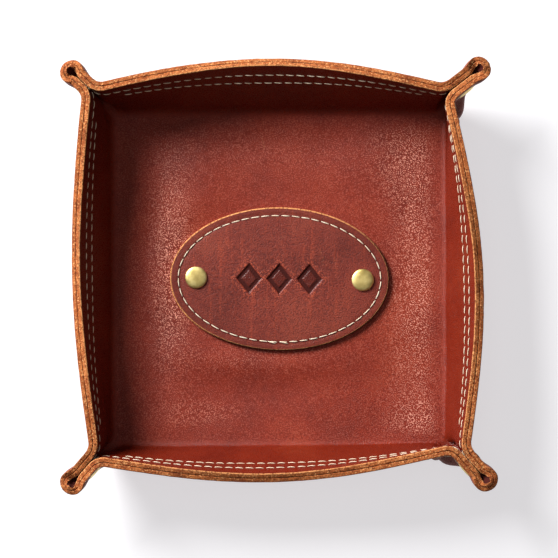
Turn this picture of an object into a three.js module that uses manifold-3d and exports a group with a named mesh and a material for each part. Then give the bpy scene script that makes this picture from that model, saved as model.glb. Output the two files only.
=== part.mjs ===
// Valet tray of two leather layers sewn together. Its four corners are pinched into ears, held by rivets.
// Millimetres, +Z up, the front edge towards -Y, the underside of the floor on z = 0.
//
// Both leather layers are offsets of one middle surface. Round the tray that surface follows two closed
// loops, which are sampled in step: the floor's outline, and the rim with its ears. Upwards it runs from
// one to the other.
import * as THREE from 'three';
import Module from 'manifold-3d';

const wasm = await Module();
wasm.setup();

// ---- Driving dimensions ----
const LEATHER = 1.9; // thickness of each leather layer
const GAP = 0.3; // clearance between pieces that touch
const FLOOR_HALF = 76.5; // half the floor's width, to the line where the wall turns up
const FLOOR_CORNER = 7; // radius of the floor's corners
const CREASE = 5; // reach of the bend between floor and wall, each way
const RIM_AT_SIDE = 25.5; // height of the rim at the middle of a side
const RIM_AT_EAR = 28.5; // height of the rim at the ears
const FLARE = 0.45; // how much of a wall's lean comes near its rim, at the middle of a side
const SIDE_HANDLE = 0.42; // fullness of a bowed side: how far its curve's handles reach along the chord
const NECK = 4.0; // reach of the bend where a side turns into an ear
const LOOP = 3.35; // radius of the open loop at an ear's end, to the middle of the leather
const LOOP_OPENS = { from: 0.78, to: 0.96 }; // shares of the wall's height between which the loop opens
const LOOP_TAPER = 4.5; // length over which an ear's walls part before its loop
const PINCHED_FROM = 0.5; // share of the wall's height above which the ears are pinched shut
const BULGE_TO = 0.54; // share of the wall's height where the bulge below a corner rivet ends

// Where the rim's middle line passes at each side's middle, and each ear's pinch and loop centre, in plan.
// Both lists run anticlockwise, and each side lies between the ear before it and the ear at its own place.
// An ear's pairs are for the side before it and the side after it. A depth is how far inside the pinch that
// side turns towards the ear, and a bulge is how far the leather swells out there below the rivet. The
// rivet's own place is measured along the ear from its pinch.
const SIDES = [
  { name: 'right', out: [1, 0], reach: 87.9 },
  { name: 'back', out: [0, 1], reach: 94.1 },
  { name: 'left', out: [-1, 0], reach: 88.4 },
  { name: 'front', out: [0, -1], reach: 87.7 },
];
const EARS = [
  {
    name: 'back_right', pinch: [78.2, 82.6], loop: [88.3, 90.4],
    depths: [5.3, 3.9], bulges: [4.2, 1.6], rivet: 3.1,
  },
  {
    name: 'back_left', pinch: [-82.4, 82.8], loop: [-90.2, 90.2],
    depths: [2.0, 0.5], bulges: [1.6, 1.6], rivet: 3.7,
  },
  {
    name: 'front_left', pinch: [-80.6, -79.9], loop: [-89.4, -90.0],
    depths: [3.6, 0.8], bulges: [1.6, 1.6], rivet: 4.6,
  },
  {
    name: 'front_right', pinch: [83.0, -79.7], loop: [90.6, -88.3],
    depths: [7.3, 3.9], bulges: [4.0, 1.6], rivet: 3.1,
  },
];

const PATCH = { length: 98, width: 64, turn: -1 }; // the oval on the floor, turned by that many degrees
const PATCH_STITCH_INSET = 3.8;
const PATCH_STITCH_SIDES = 48; // straight stretches in the ring of thread
const CURVE_SEGMENTS = 12; // half the number of straight sides in the patch's outline
const PATCH_RIVETS = [-37.2, 37.2]; // places along the patch's long axis
const THREAD_WIDTH = 0.8;
const THREAD_HEIGHT = 0.5;
const ROW_BELOW_RIM = { outer: 4.2, inner: 8.2 }; // each row of rim stitching, down the wall from the rim

const POST_RADIUS = 1.5;
const HOLE_RADIUS = POST_RADIUS + GAP;
const CAP = { radius: 4.9, edge: 0.5, dome: 1.0 };
const WASHER = { radius: 4.5, thick: 0.8 };
const CORNER_BASE = { radius: 4.4, thick: 1.1, recess: 0.7, chamfer: 0.5 };
const RIVET_SIDES = 16; // flat sides round each rivet and hole
const RIVET_HEIGHT = 21.6;

// ---- Derived heights and distances ----
const MIDDLE = LEATHER + GAP / 2; // from the middle surface to either outer face of the leather
const PINCH_HALF = MIDDLE + GAP / 2; // from an ear's plane to the middle of its pinched wall
const FLOOR_TOP = 2 * MIDDLE;
const PATCH_BASE = FLOOR_TOP + GAP;
const PATCH_TOP = PATCH_BASE + LEATHER;
const WALL = Math.hypot(RIM_AT_EAR - MIDDLE, SIDES[0].reach - FLOOR_HALF); // from a wall's crease to its rim
const CREASE_SHARE = CREASE / WALL;

// Samples on each half of a corner. A mesh takes every FINE-th sample; the finer ones give exact normals.
const FINE = 8;
const SIDE_STEPS = 4 * FINE;
const NECK_STEPS = 3 * FINE;
const FLANK_STEPS = 2 * FINE;
const TIP_STEPS = 3 * FINE;
const TURN_STEPS = NECK_STEPS + FLANK_STEPS + TIP_STEPS;
const HALF_CORNER = SIDE_STEPS + TURN_STEPS;
const AROUND = 8 * HALF_CORNER;
const CREASE_BANDS = 3; // bands of squares in the mesh, up the crease and up the wall
const WALL_BANDS = 5;
const CROWN_BANDS = 4; // rings of faces on a rivet's domed cap

const mix = (a, b, share) => a + (b - a) * share;
const mix2 = (a, b, share) => [mix(a[0], b[0], share), mix(a[1], b[1], share)];
const along = (point, way, distance) => [point[0] + way[0] * distance, point[1] + way[1] * distance];
const dot = (a, b) => a[0] * b[0] + a[1] * b[1];
const minus = (a, b) => [a[0] - b[0], a[1] - b[1]];
const ease = (from, to, value) => THREE.MathUtils.smoothstep(value, from, to);

// ---- The rim's outline ----

/** Each ear's own directions: out along the ear, and across it to the left of that. */
function earFrame(ear) {
  const reach = minus(ear.loop, ear.pinch);
  const length = Math.hypot(...reach);
  const out = [reach[0] / length, reach[1] / length];
  return { ...ear, out, across: [-out[1], out[0]], length };
}

const ears = EARS.map(earFrame);

/** How far inside the pinch a side meets this ear: the side before it (-1) or after it (+1). */
const neckDepth = (ear, way) => ear.depths[way < 0 ? 0 : 1];

/** The corner between a side's middle line and an ear's wall, before the neck rounds it off. */
function neckCorner(ear, way) {
  return along(along(ear.pinch, ear.out, -neckDepth(ear, way)), ear.across, way * PINCH_HALF);
}

/** A point on a bowed side, as a cubic curve from the ear before it to its own ear. */
function sidePoint(index, share) {
  const side = SIDES[index];
  const start = neckCorner(ears[(index + 3) % 4], 1);
  const end = neckCorner(ears[index], -1);
  const chord = minus(end, start);
  const handlesWeigh = 6 / 8; // the weight of both handles together in the curve's middle
  const bow = (side.reach - dot(mix2(start, end, 0.5), side.out)) / handlesWeigh;
  const first = along(along(start, chord, SIDE_HANDLE), side.out, bow);
  const second = along(along(end, chord, -SIDE_HANDLE), side.out, bow);
  const rest = 1 - share;
  const weights = [rest ** 3, 3 * rest * rest * share, 3 * rest * share * share, share ** 3];
  const marks = [start, first, second, end];
  return [0, 1].map((axis) => weights.reduce((sum, weight, k) => sum + weight * marks[k][axis], 0));
}

/** A point on half an ear, along and across it: a wall from its start, then a loop of this radius. */
function earPoint(step, start, fold, radius) {
  if (step <= FLANK_STEPS) {
    const share = (2 * step) / FLANK_STEPS; // 0 to 1 where the walls are parallel, and 1 to 2 as they part
    const end = fold - radius;
    const parting = end - Math.min(LOOP_TAPER, (end - start) / 2);
    const out = share < 1 ? mix(start, parting, share) : mix(parting, end, share - 1);
    return [out, mix(PINCH_HALF, radius, ease(1, 2, share))];
  }
  const angle = ((step - FLANK_STEPS) / TIP_STEPS) * (Math.PI / 2);
  return [fold - radius + radius * Math.sin(angle), radius * Math.cos(angle)];
}

/** One sample of the rim before (-1) or after (+1) an ear's tip, counted from the side's middle. */
function rimSample(corner, way, step) {
  const ear = ears[corner];
  const sideIndex = way < 0 ? corner : (corner + 1) % 4;
  const span = minus(sidePoint(sideIndex, 1), sidePoint(sideIndex, 0));
  const neckShare = NECK / (Math.hypot(...span) * 3 * SIDE_HANDLE);
  const sideShare = (share) => (way < 0 ? 0.5 + share * (0.5 - neckShare) : 0.5 - share * (0.5 - neckShare));
  if (step <= SIDE_STEPS) {
    const share = step / SIDE_STEPS;
    return { plan: sidePoint(sideIndex, sideShare(share)), nearEar: ease(0, 1, share), grip: 0 };
  }
  if (step <= SIDE_STEPS + NECK_STEPS) {
    const share = (step - SIDE_STEPS) / NECK_STEPS;
    const turn = neckCorner(ear, way);
    const start = sidePoint(sideIndex, sideShare(1));
    const end = along(turn, ear.out, NECK);
    const plan = mix2(mix2(start, turn, share), mix2(turn, end, share), share);
    return { plan, nearEar: 1, grip: ease(0, 1, share) };
  }
  const earStep = step - SIDE_STEPS - NECK_STEPS;
  const earStart = NECK - neckDepth(ear, way);
  const [out, across] = earPoint(earStep, earStart, ear.length + LOOP, LOOP);
  const plan = along(along(ear.pinch, ear.out, out), ear.across, way * across);
  return { plan, nearEar: 1, grip: 1, earStep, earStart };
}

/** The floor's outline, drawn in by a distance, at the sample that goes with rimSample. */
function floorSample(corner, way, step, inset) {
  const radius = FLOOR_CORNER - inset;
  const centre = FLOOR_HALF - FLOOR_CORNER;
  const diagonal = Math.PI / 4 + (corner * Math.PI) / 2;
  if (step <= SIDE_STEPS) {
    const side = diagonal + (way * Math.PI) / 4;
    const out = [Math.cos(side), Math.sin(side)];
    const toEar = [way * out[1], -way * out[0]];
    return along(along([0, 0], out, FLOOR_HALF - inset), toEar, (step / SIDE_STEPS) * centre);
  }
  const angle = diagonal + way * (Math.PI / 4) * (1 - (step - SIDE_STEPS) / TURN_STEPS);
  const middle = along([0, 0], [Math.cos(diagonal), Math.sin(diagonal)], centre * Math.SQRT2);
  return along(middle, [Math.cos(angle), Math.sin(angle)], radius);
}

/** All samples round the tray, anticlockwise from the middle of the right side. */
function sampleLoops() {
  const samples = [];
  for (let corner = 0; corner < 4; corner++) {
    for (let place = 0; place < 2 * HALF_CORNER; place++) {
      const way = place <= HALF_CORNER ? -1 : 1;
      const step = way < 0 ? place : 2 * HALF_CORNER - place;
      const ear = ears[corner];
      const foot = floorSample(corner, way, step, 0);
      const rim = rimSample(corner, way, step);
      const footAlongEar = (at) => dot(minus(floorSample(corner, way, at, 0), ear.pinch), ear.out);
      const bulgeRises = ease(SIDE_STEPS - FINE, SIDE_STEPS + NECK_STEPS / 2, step);
      const bulgeFades = 1 - ease(SIDE_STEPS + NECK_STEPS + FLANK_STEPS / 2, HALF_CORNER, step);
      samples.push({
        ...rim,
        ear,
        way,
        foot,
        inner: floorSample(corner, way, step, CREASE),
        footStart: footAlongEar(SIDE_STEPS + NECK_STEPS),
        footFold: footAlongEar(HALF_CORNER),
        bulge: ear.bulges[way < 0 ? 0 : 1] * bulgeRises * bulgeFades,
      });
    }
  }
  return samples;
}

const samples = sampleLoops();

// ---- The middle surface ----

/** Where a corner's sample goes when the ear is pinched shut, as distances along and across the ear. */
function pinchedPlace(sample, straight, share) {
  const { ear, way, earStep, earStart } = sample;
  if (earStep === undefined) return [straight[0], dot(minus(sample.plan, ear.pinch), ear.across)];
  const start = mix(sample.footStart, earStart, share);
  const fold = mix(sample.footFold, ear.length + LOOP, share);
  const radius = mix(PINCH_HALF, LOOP, ease(LOOP_OPENS.from, LOOP_OPENS.to, share));
  const [out, across] = earPoint(earStep, start, fold, radius);
  return [out, way * across];
}

/** A point on the wall at a share of its height. Towards an ear the walls close in on the ear's plane. */
function wallPoint(sample, share) {
  const { ear, way, grip } = sample;
  const bend = FLARE * (1 - sample.nearEar);
  let plan = mix2(sample.foot, sample.plan, share * (1 - bend) + share * share * bend);
  if (grip > 0) {
    const reach = minus(plan, ear.pinch);
    const straight = [dot(reach, ear.out), dot(reach, ear.across)];
    const pinched = pinchedPlace(sample, straight, share);
    const [out, across] = mix2(straight, pinched, grip * ease(0, PINCHED_FROM, share));
    plan = along(along(ear.pinch, ear.out, out), ear.across, across);
  }
  const swelling = Math.sin(Math.PI * Math.min(1, share / BULGE_TO)) ** 2;
  plan = along(plan, ear.across, way * sample.bulge * swelling);
  const top = mix(RIM_AT_SIDE, RIM_AT_EAR, sample.nearEar);
  return new THREE.Vector3(plan[0], plan[1], mix(MIDDLE, top, share));
}

/** The middle surface's point: level 0 is the flat floor's edge, CREASE_SHARE the wall's foot, 1 the rim. */
function surfacePoint(index, level) {
  const sample = samples[(index + AROUND) % AROUND];
  if (level >= CREASE_SHARE) return wallPoint(sample, level);
  const share = level / CREASE_SHARE;
  const start = new THREE.Vector3(...sample.inner, MIDDLE);
  const turn = new THREE.Vector3(...sample.foot, MIDDLE);
  const end = wallPoint(sample, CREASE_SHARE);
  return start.lerp(turn, share).lerp(turn.clone().lerp(end, share), share);
}

/** The point at this distance from the middle surface, up and inwards when it is positive. */
function offsetPoint(index, level, distance) {
  const step = 0.01;
  const upper = surfacePoint(index, Math.min(1, level + step));
  const rise = upper.sub(surfacePoint(index, Math.max(0, level - (level > 0 ? step : 0))));
  const round = surfacePoint(index + 1, level).sub(surfacePoint(index - 1, level));
  const normal = level === 0 ? new THREE.Vector3(0, 0, 1) : rise.cross(round).normalize();
  return surfacePoint(index, level).addScaledVector(normal, distance);
}

// ---- Solids ----

/**
 * A closed solid from rings of points, all with as many points, each joined to the next. From the ring
 * turnAt on, the squares between rings are split along their other diagonal.
 */
function solidFromRings(rings, { closed, turnAt = Infinity }) {
  const size = rings[0].length;
  const points = rings.flat();
  const faces = [];
  const bands = closed ? rings.length : rings.length - 1;
  for (let band = 0; band < bands; band++) {
    const next = (band + 1) % rings.length;
    for (let k = 0; k < size; k++) {
      const after = (k + 1) % size;
      const [a, b, c, d] = [band * size + k, band * size + after, next * size + after, next * size + k];
      faces.push(...(band < turnAt ? [a, b, c, a, c, d] : [a, b, d, b, c, d]));
    }
  }
  if (!closed) {
    for (const [ring, flip] of [[0, true], [rings.length - 1, false]]) {
      const centre = new THREE.Vector3();
      rings[ring].forEach((point) => centre.addScaledVector(point, 1 / size));
      points.push(centre);
      for (let k = 0; k < size; k++) {
        const [a, b] = [ring * size + k, ring * size + ((k + 1) % size)];
        faces.push(points.length - 1, ...(flip ? [b, a] : [a, b]));
      }
    }
  }
  return geometryOf(points, faces);
}

function geometryOf(points, faces) {
  const geometry = new THREE.BufferGeometry();
  const values = points.flatMap((point) => point.toArray());
  geometry.setAttribute('position', new THREE.Float32BufferAttribute(values, 3));
  geometry.setIndex(faces);
  return geometry;
}

function toManifold(geometry) {
  const source = geometry.index ? geometry : mergeByPlace(geometry);
  return new wasm.Manifold(new wasm.Mesh({
    numProp: 3,
    vertProperties: new Float32Array(source.attributes.position.array),
    triVerts: new Uint32Array(source.index.array),
  }));
}

/** The same geometry with an index that joins vertices at the same place. */
function mergeByPlace(geometry) {
  const position = geometry.attributes.position;
  const unindexed = () => Array.from({ length: position.count }, (_, k) => k);
  const order = geometry.index ? Array.from(geometry.index.array) : unindexed();
  const known = new Map();
  const points = [];
  const joined = order.map((k) => {
    const point = new THREE.Vector3().fromBufferAttribute(position, k);
    const key = point.toArray().map((value) => Math.round(value * 1e4)).join();
    if (!known.has(key)) known.set(key, points.push(point) - 1);
    return known.get(key);
  });
  const faces = [];
  for (let k = 0; k < joined.length; k += 3) {
    const [a, b, c] = joined.slice(k, k + 3);
    if (a !== b && b !== c && a !== c) faces.push(a, b, c);
  }
  return geometryOf(points, faces);
}

/** The geometry with each tool cut out of it. */
function drilled(geometry, tools) {
  let solid = toManifold(geometry);
  for (const tool of tools) solid = solid.subtract(toManifold(mergeByPlace(tool)));
  const mesh = solid.getMesh();
  const result = new THREE.BufferGeometry();
  result.setAttribute('position', new THREE.Float32BufferAttribute(Array.from(mesh.vertProperties), 3));
  result.setIndex(Array.from(mesh.triVerts));
  return result;
}

/** One leather layer, between two distances from the middle surface. Both its faces split alike. */
function leatherLayer(lower, upper) {
  const creaseLevels = Array.from({ length: CREASE_BANDS }, (_, k) => (k / CREASE_BANDS) * CREASE_SHARE);
  const wallLevels = Array.from({ length: WALL_BANDS + 1 }, (_, k) => mix(CREASE_SHARE, 1, k / WALL_BANDS));
  const levels = [...creaseLevels, ...wallLevels];
  const places = Array.from({ length: AROUND / FINE }, (_, k) => k * FINE);
  const rows = [
    ...levels.map((level) => places.map((place) => offsetPoint(place, level, lower))),
    ...levels.toReversed().map((level) => places.map((place) => offsetPoint(place, level, upper))),
  ];
  return solidFromRings(rows, { closed: false, turnAt: levels.length });
}

/** A run of thread on the lined side of the wall, over these samples and so far down from the rim. */
function rimThread(places, belowRim) {
  const level = 1 - belowRim / WALL;
  const half = THREAD_WIDTH / 2 / WALL;
  const [near, far] = [MIDDLE + GAP, MIDDLE + GAP + THREAD_HEIGHT];
  return solidFromRings(places.map((place) => [
    offsetPoint(place, level - half, near),
    offsetPoint(place, level - half, far),
    offsetPoint(place, level + half, far),
    offsetPoint(place, level + half, near),
  ]), { closed: false });
}

/** A ring of thread lying on the patch. */
function patchThread(steps) {
  const halfLength = PATCH.length / 2 - PATCH_STITCH_INSET;
  const halfWidth = PATCH.width / 2 - PATCH_STITCH_INSET;
  const [low, high] = [PATCH_TOP + GAP, PATCH_TOP + GAP + THREAD_HEIGHT];
  const rings = Array.from({ length: steps }, (_, k) => {
    const angle = (k / steps) * 2 * Math.PI;
    const at = (shift, z) => new THREE.Vector3(
      (halfLength + shift) * Math.cos(angle), (halfWidth + shift) * Math.sin(angle), z);
    const half = THREAD_WIDTH / 2;
    return [at(-half, low), at(half, low), at(half, high), at(-half, high)];
  });
  return solidFromRings(rings.toReversed(), { closed: true });
}

/** The oval patch, with a hole for each rivet post. */
function patchPlate() {
  const outline = new THREE.Shape();
  outline.absellipse(0, 0, PATCH.length / 2, PATCH.width / 2, 0, 2 * Math.PI);
  for (const place of PATCH_RIVETS) {
    const hole = new THREE.Path();
    hole.absarc(place, 0, HOLE_RADIUS, 0, 2 * Math.PI, true);
    outline.holes.push(hole);
  }
  const extrusion = { depth: LEATHER, bevelEnabled: false, curveSegments: CURVE_SEGMENTS };
  const plate = new THREE.ExtrudeGeometry(outline, extrusion);
  return plate.translate(0, 0, PATCH_BASE);
}

// ---- Rivets, drawn with their axis on Y and the cap's underside on y = 0 ----

/** A domed cap on a solid post. */
function rivetCap({ radius, edge, dome }, postLength) {
  const crown = Array.from({ length: CROWN_BANDS }, (_, k) => {
    const angle = (k / CROWN_BANDS) * (Math.PI / 2);
    return new THREE.Vector2(radius * Math.sin(angle), edge + dome * Math.cos(angle));
  });
  return new THREE.LatheGeometry([
    new THREE.Vector2(0, -postLength),
    new THREE.Vector2(POST_RADIUS, -postLength),
    new THREE.Vector2(POST_RADIUS, 0),
    new THREE.Vector2(radius, 0),
    new THREE.Vector2(radius, edge),
    ...crown.toReversed(),
  ], RIVET_SIDES);
}

/** A flat washer that the post passes through. */
function rivetWasher({ radius, thick }) {
  return new THREE.LatheGeometry([
    new THREE.Vector2(HOLE_RADIUS, 0),
    new THREE.Vector2(radius, 0),
    new THREE.Vector2(radius, thick),
    new THREE.Vector2(HOLE_RADIUS, thick),
    new THREE.Vector2(HOLE_RADIUS, 0),
  ], RIVET_SIDES);
}

/** A flat base with a recess that takes the end of the post. Its leather side is on y = 0. */
function rivetBase({ radius, thick, recess, chamfer }) {
  return new THREE.LatheGeometry([
    new THREE.Vector2(0, -thick),
    new THREE.Vector2(radius - chamfer, -thick),
    new THREE.Vector2(radius, chamfer - thick),
    new THREE.Vector2(radius, 0),
    new THREE.Vector2(HOLE_RADIUS, 0),
    new THREE.Vector2(HOLE_RADIUS, -recess),
    new THREE.Vector2(0, -recess),
  ], RIVET_SIDES);
}

const UP = new THREE.Vector3(0, 1, 0);

/** A solid drawn along Y, set with its axis along a direction through a point. */
function setAlong(geometry, point, direction) {
  const turn = new THREE.Quaternion().setFromUnitVectors(UP, direction);
  return geometry.applyQuaternion(turn).translate(point.x, point.y, point.z);
}

const post = (radius, length) => new THREE.CylinderGeometry(radius, radius, length, RIVET_SIDES);

/** A corner rivet's centre between the pinched walls, and the way its cap faces: always to the front. */
function cornerRivet(ear) {
  const plan = along(ear.pinch, ear.out, ear.rivet);
  const front = ear.across[1] < 0 ? 1 : -1;
  return {
    centre: new THREE.Vector3(...plan, RIVET_HEIGHT),
    facing: new THREE.Vector3(front * ear.across[0], front * ear.across[1], 0),
  };
}

// ---- Materials ----
const LOOKS = {
  liner: { color: 0x8a3d2a, roughness: 0.55 },
  outer: { color: 0x7c3424, roughness: 0.6 },
  patch: { color: 0x7a3a2e, roughness: 0.5 },
  thread: { color: 0xe2c79c, roughness: 0.85 },
  brass: { color: 0xb59a5a, roughness: 0.35, metalness: 1 },
};

const group = new THREE.Group();

function add(name, look, geometry) {
  const clean = mergeByPlace(geometry);
  clean.computeVertexNormals();
  const mesh = new THREE.Mesh(clean, new THREE.MeshStandardMaterial({ ...LOOKS[look], flatShading: true }));
  mesh.name = name;
  group.add(mesh);
}

// ---- The two leather layers ----
const rivets = ears.map(cornerRivet);
const HOLE_LENGTH = 4 * PINCH_HALF + 4 * MIDDLE; // enough to pass right through an ear
const cornerHoles = () => (
  rivets.map(({ centre, facing }) => setAlong(post(HOLE_RADIUS, HOLE_LENGTH), centre, facing))
);
const Z = new THREE.Vector3(0, 0, 1);
const patchAngle = THREE.MathUtils.degToRad(PATCH.turn);
const onPatch = (place) => new THREE.Vector3(place, 0, 0).applyAxisAngle(Z, patchAngle);
const patchHoles = (radius, from, to) => PATCH_RIVETS.map((place) => {
  const centre = onPatch(place).setZ((from + to) / 2);
  return setAlong(post(radius, to - from), centre, Z);
});

const washerBase = LEATHER - WASHER.thick;
const pockets = patchHoles(WASHER.radius + GAP, washerBase - GAP, MIDDLE);
const outerLayer = leatherLayer(-MIDDLE, -GAP / 2);
add('outer_leather_panel', 'outer', drilled(outerLayer, [...cornerHoles(), ...pockets]));
const linerHoles = patchHoles(HOLE_RADIUS, LEATHER, FLOOR_TOP + GAP);
const innerLayer = leatherLayer(GAP / 2, MIDDLE);
add('liner_leather_panel', 'liner', drilled(innerLayer, [...cornerHoles(), ...linerHoles]));

// ---- Stitching along the rim: two rows on each wall ----
SIDES.forEach((side, index) => {
  const middle = index * 2 * HALF_CORNER;
  const reach = { outer: SIDE_STEPS + NECK_STEPS / 2, inner: SIDE_STEPS - FINE / 2 };
  for (const row of ['outer', 'inner']) {
    const places = [];
    for (let place = -SIDE_STEPS; place <= SIDE_STEPS; place += FINE) {
      if (Math.abs(place) < reach[row]) places.push(middle + place);
    }
    places.unshift(middle - reach[row]);
    places.push(middle + reach[row]);
    add(`rim_stitch_${row}_${side.name}`, 'thread', rimThread(places, ROW_BELOW_RIM[row]));
  }
});

// ---- The oval patch, its stitching and its two rivets ----
const turned = (geometry) => geometry.rotateZ(patchAngle);
add('patch_leather', 'patch', turned(patchPlate()));
add('patch_stitching', 'thread', turned(patchThread(PATCH_STITCH_SIDES)));
PATCH_RIVETS.forEach((place) => {
  const name = place < 0 ? 'left' : 'right';
  const capSeat = PATCH_TOP + GAP;
  const at = (height) => onPatch(place).setZ(height);
  add(`patch_rivet_${name}`, 'brass', setAlong(rivetCap(CAP, capSeat - washerBase), at(capSeat), Z));
  add(`patch_rivet_washer_${name}`, 'brass', setAlong(rivetWasher(WASHER), at(washerBase), Z));
});

// ---- The four corner rivets ----
ears.forEach((ear, index) => {
  const { centre, facing } = rivets[index];
  const seat = PINCH_HALF + MIDDLE + GAP;
  const postLength = 2 * seat + CORNER_BASE.recess - GAP;
  const capSeat = centre.clone().addScaledVector(facing, seat);
  const baseSeat = centre.clone().addScaledVector(facing, -seat);
  add(`corner_rivet_${ear.name}`, 'brass', setAlong(rivetCap(CAP, postLength), capSeat, facing));
  add(`corner_rivet_base_${ear.name}`, 'brass', setAlong(rivetBase(CORNER_BASE), baseSeat, facing));
});

// ---- The origin goes to the middle of the whole tray's box, on its underside ----
const box = new THREE.Box3().setFromObject(group);
const centre = box.getCenter(new THREE.Vector3());
group.children.forEach((mesh) => mesh.geometry.translate(-centre.x, -centre.y, -box.min.z));

export default group;
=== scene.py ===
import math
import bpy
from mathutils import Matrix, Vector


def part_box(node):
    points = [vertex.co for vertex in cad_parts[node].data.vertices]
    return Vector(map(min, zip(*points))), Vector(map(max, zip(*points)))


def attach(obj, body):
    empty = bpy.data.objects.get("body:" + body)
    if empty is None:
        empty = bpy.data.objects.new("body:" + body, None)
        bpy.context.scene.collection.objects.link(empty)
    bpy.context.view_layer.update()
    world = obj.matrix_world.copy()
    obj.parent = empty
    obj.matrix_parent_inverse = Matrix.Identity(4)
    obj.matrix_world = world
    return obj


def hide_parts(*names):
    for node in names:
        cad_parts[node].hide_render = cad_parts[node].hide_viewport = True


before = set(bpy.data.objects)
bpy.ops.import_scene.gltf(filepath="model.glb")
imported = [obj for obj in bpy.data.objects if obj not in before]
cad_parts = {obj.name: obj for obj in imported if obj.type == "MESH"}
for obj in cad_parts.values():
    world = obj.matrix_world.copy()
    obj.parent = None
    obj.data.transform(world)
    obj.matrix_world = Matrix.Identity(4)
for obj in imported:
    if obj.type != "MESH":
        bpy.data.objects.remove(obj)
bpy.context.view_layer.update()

# A leather valet tray: two leather layers sewn together, corners pinched into riveted ears, and an oval patch
# on the floor. Shapes are worked out in millimetres, with the tray's middle at x = y = 0 and its underside on
# z = 0, and turned into metres in the frame's place when a mesh is made. Both leather layers are offsets of
# one middle surface, from the floor's outline up to the rim, and its formulas are those of the CAD model.
from types import SimpleNamespace

import bpy
import numpy as np
from mathutils import Matrix, Vector

MM = 0.001

# ---- The tray's sizes, in millimetres ----
LEATHER = 1.9  # thickness of each leather layer
CAD_GAP = 0.3  # what the CAD model leaves between touching pieces
FLOOR_HALF = 76.5  # half the floor's width, to the line where the wall turns up
FLOOR_CORNER = 7.0
CREASE = 5.0  # reach of the bend between floor and wall, each way
RIM_AT_SIDE = 25.5
RIM_AT_EAR = 28.5
FLARE = 0.45  # how much of a wall's lean comes near its rim, at the middle of a side
SIDE_HANDLE = 0.42  # fullness of the bowed sides
HANDLES_AT_MIDDLE = 0.75  # share of its two handles' shift that the middle of a cubic curve takes
MIDDLE = LEATHER + CAD_GAP / 2  # from the middle surface to either outer face
PINCH_HALF = MIDDLE + CAD_GAP / 2
NECK = 4.0  # reach of the bend where a side turns into an ear
LOOP = 3.35  # radius of the open loop at an ear's end
LOOP_OPENS = (0.78, 0.96)  # shares of the wall's height between which the loop opens
LOOP_TAPER = 4.5  # length over which an ear's walls part before its loop
PINCHED_FROM = 0.5  # share of the wall's height above which the ears are pinched shut
BULGE_TO = 0.54  # share of the wall's height where the bulge below a corner rivet ends
EDGE_ROUND = 0.4  # radius of the cut edge's corners
EDGE_TILT = 0.21  # slope of the cut edge: it is higher towards the outside, so that it lies nearly level

# Each side has its name, its way out and the reach of its bow. Each ear has pairs of depths and bulges, for
# the side before it and the side after it: a depth is how far inside the pinch that side turns towards the
# ear, and a bulge is how far the leather swells out there. The rivet's place is along the ear, and sunk is
# how deep its cap has pressed into the leather.
SIDES = [("right", (1, 0), 87.9), ("back", (0, 1), 94.1), ("left", (-1, 0), 88.4), ("front", (0, -1), 87.7)]
EARS = [
    dict(name="back_right", pinch=(78.2, 82.6), loop=(88.3, 90.4), depths=(5.3, 3.9), bulges=(4.2, 1.6),
         rivet=3.1, sunk=1.05),
    dict(name="back_left", pinch=(-82.4, 82.8), loop=(-90.2, 90.2), depths=(2.0, 0.5), bulges=(1.6, 1.6),
         rivet=3.7, sunk=1.35),
    dict(name="front_left", pinch=(-80.6, -79.9), loop=(-89.4, -90.0), depths=(3.6, 0.8), bulges=(1.6, 1.6),
         rivet=4.6, sunk=1.15),
    dict(name="front_right", pinch=(83.0, -79.7), loop=(90.6, -88.3), depths=(7.3, 3.9), bulges=(4.0, 1.6),
         rivet=3.1, sunk=0.95),
]
WALL = math.hypot(RIM_AT_EAR - MIDDLE, SIDES[0][2] - FLOOR_HALF)
CREASE_SHARE = CREASE / WALL
FLOOR_TOP = 2 * MIDDLE

PATCH_HALF = (49.0, 32.0)
PATCH_TURN = math.radians(-1)
PATCH_THICK = 1.7
PATCH_STITCH_INSET = 3.8
PATCH_RIVETS = (-37.2, 37.2)
RIVET_HEIGHT = 21.6  # of the corner rivets' middles

ROW_BELOW_RIM = {"outer": 4.2, "inner": 8.2}
STITCH_PITCH = 4.5
STITCH_LENGTH = 3.7
STITCH_RISE = 0.40  # from a stitch's ends to its top
STITCH_DEPTH = 0.26  # how deep in the leather a stitch's ends are
STITCH_SLANT = 0.16  # how far each end of a stitch lies to one side
STITCH_SAMPLES = 13
ROW_SEEDS = {"outer": 100, "inner": 110}  # each wall's row adds the wall's own number
PATCH_SEED = 40
PLACE_SPREAD = 0.05  # spreads of the stitches' places, lengths and slants
LENGTH_SPREAD = 0.1
SLANT_SPREAD = 0.08
THREAD_RADIUS = 0.24
THREAD_SIDES = 8
THREAD_FLATNESS = 0.75  # the thread's height as a share of its width
PLIES = 3
PLY_DEPTH = 0.13  # how far the plies stand out, as a share of the radius
PLY_TWIST = 7.0  # how far the plies wind along one stitch, in radians
BLUNTNESS = 0.35  # power that makes a stitch and its thread blunt at the ends

LATHE_STEPS = 72

# Samples on each half of a corner.
FINE = 8
SIDE_STEPS, NECK_STEPS, FLANK_STEPS, TIP_STEPS = 4 * FINE, 3 * FINE, 2 * FINE, 3 * FINE
TURN_STEPS = NECK_STEPS + FLANK_STEPS + TIP_STEPS
HALF_CORNER = SIDE_STEPS + TURN_STEPS

# The frame recentred the tray on its box, so the patch's box says where the middle went.
patch_low, patch_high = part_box("patch_leather")
MIDDLE_PLACE = np.array([(patch_low.x + patch_high.x) / 2, (patch_low.y + patch_high.y) / 2, 0.0])


def mix(a, b, share):
    return a + (b - a) * share


def ease(start, end, value):
    """From 0 at the start to 1 at the end, level at both."""
    share = np.clip((np.asarray(value, float) - start) / (end - start), 0, 1)
    return share * share * (3 - 2 * share)


def unit(vectors):
    return vectors / np.maximum(np.linalg.norm(vectors, axis=-1, keepdims=True), 1e-12)


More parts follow.
